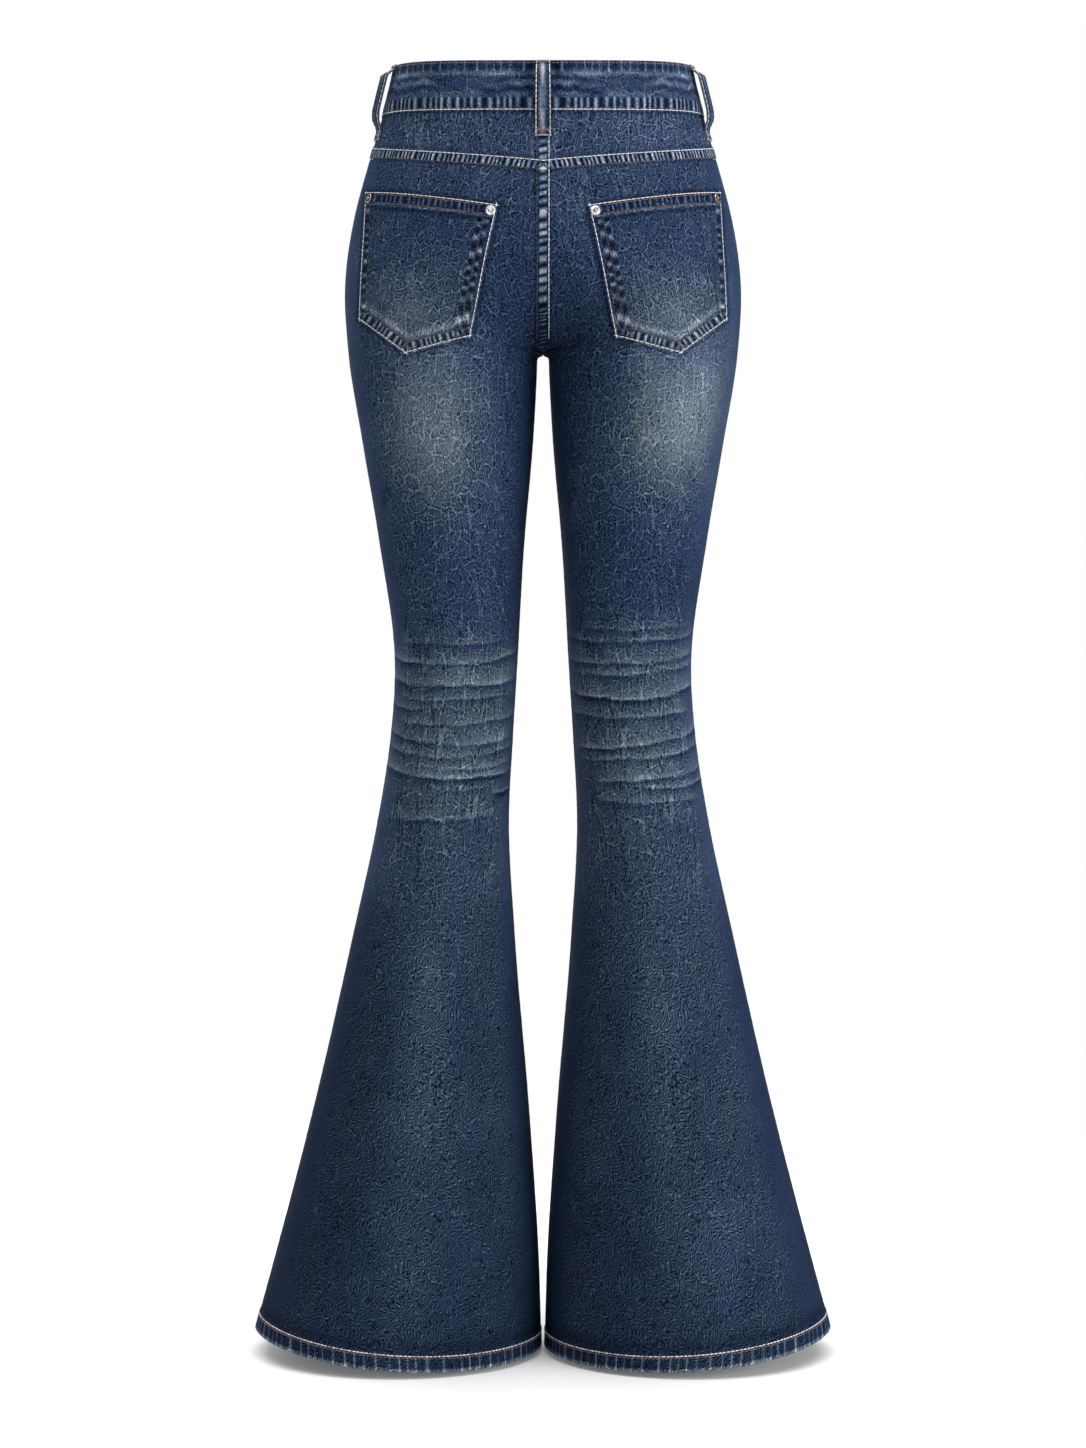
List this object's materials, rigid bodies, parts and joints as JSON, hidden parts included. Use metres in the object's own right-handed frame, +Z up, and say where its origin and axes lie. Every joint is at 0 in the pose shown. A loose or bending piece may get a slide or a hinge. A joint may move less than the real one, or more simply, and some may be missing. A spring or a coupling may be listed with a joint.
{
  "type": "flared jeans",
  "caption": "Flared denim jeans, filled out with no wearer: fitted to the knee, wide hems, back yoke, patch pockets, belt loops and a zip fly",
  "frame": {"origin": "middle of the waist opening, level with the waistband's top edge at the side seams", "axes": "+Z up along the legs, -Y out of the garment's front, +Y out of its back, +X towards the wearer's left"},
  "size_m": [0.4702, 0.2308, 1.0357],
  "materials": {
    "denim": "washed indigo denim, faded on the seat, thighs, knees and down the flares",
    "loop_denim": "indigo denim, washed lighter along the middle and edges",
    "rivet_silver": "pressed nickel-coloured rivet",
    "rivet_copper": "pressed copper-coloured rivet",
    "button_metal": "plain shank button, satin nickel colour",
    "zip_tape": "dark woven zip tape",
    "zip_metal": "satin brass"
  },
  "bodies": {
    "root": {"waistband_left": "denim", "waistband_right": "denim", "yoke_left": "denim", "yoke_right": "denim", "back_leg_left": "denim", "back_leg_right": "denim", "front_leg_left": "denim", "front_leg_right": "denim", "pocket_facing_left": "denim", "pocket_facing_right": "denim", "back_pocket_left": "denim", "back_pocket_right": "denim", "loop_back": "loop_denim", "loop_side_left": "loop_denim", "loop_side_right": "loop_denim", "loop_front_left": "loop_denim", "loop_front_right": "loop_denim", "rivet_left_inner": "rivet_silver", "rivet_right_inner": "rivet_silver", "rivet_left_outer": "rivet_copper", "rivet_right_outer": "rivet_copper", "waist_button": "button_metal", "zip_tape": "zip_tape", "zip_slider": "zip_metal"}
  },
  "joints": []
}
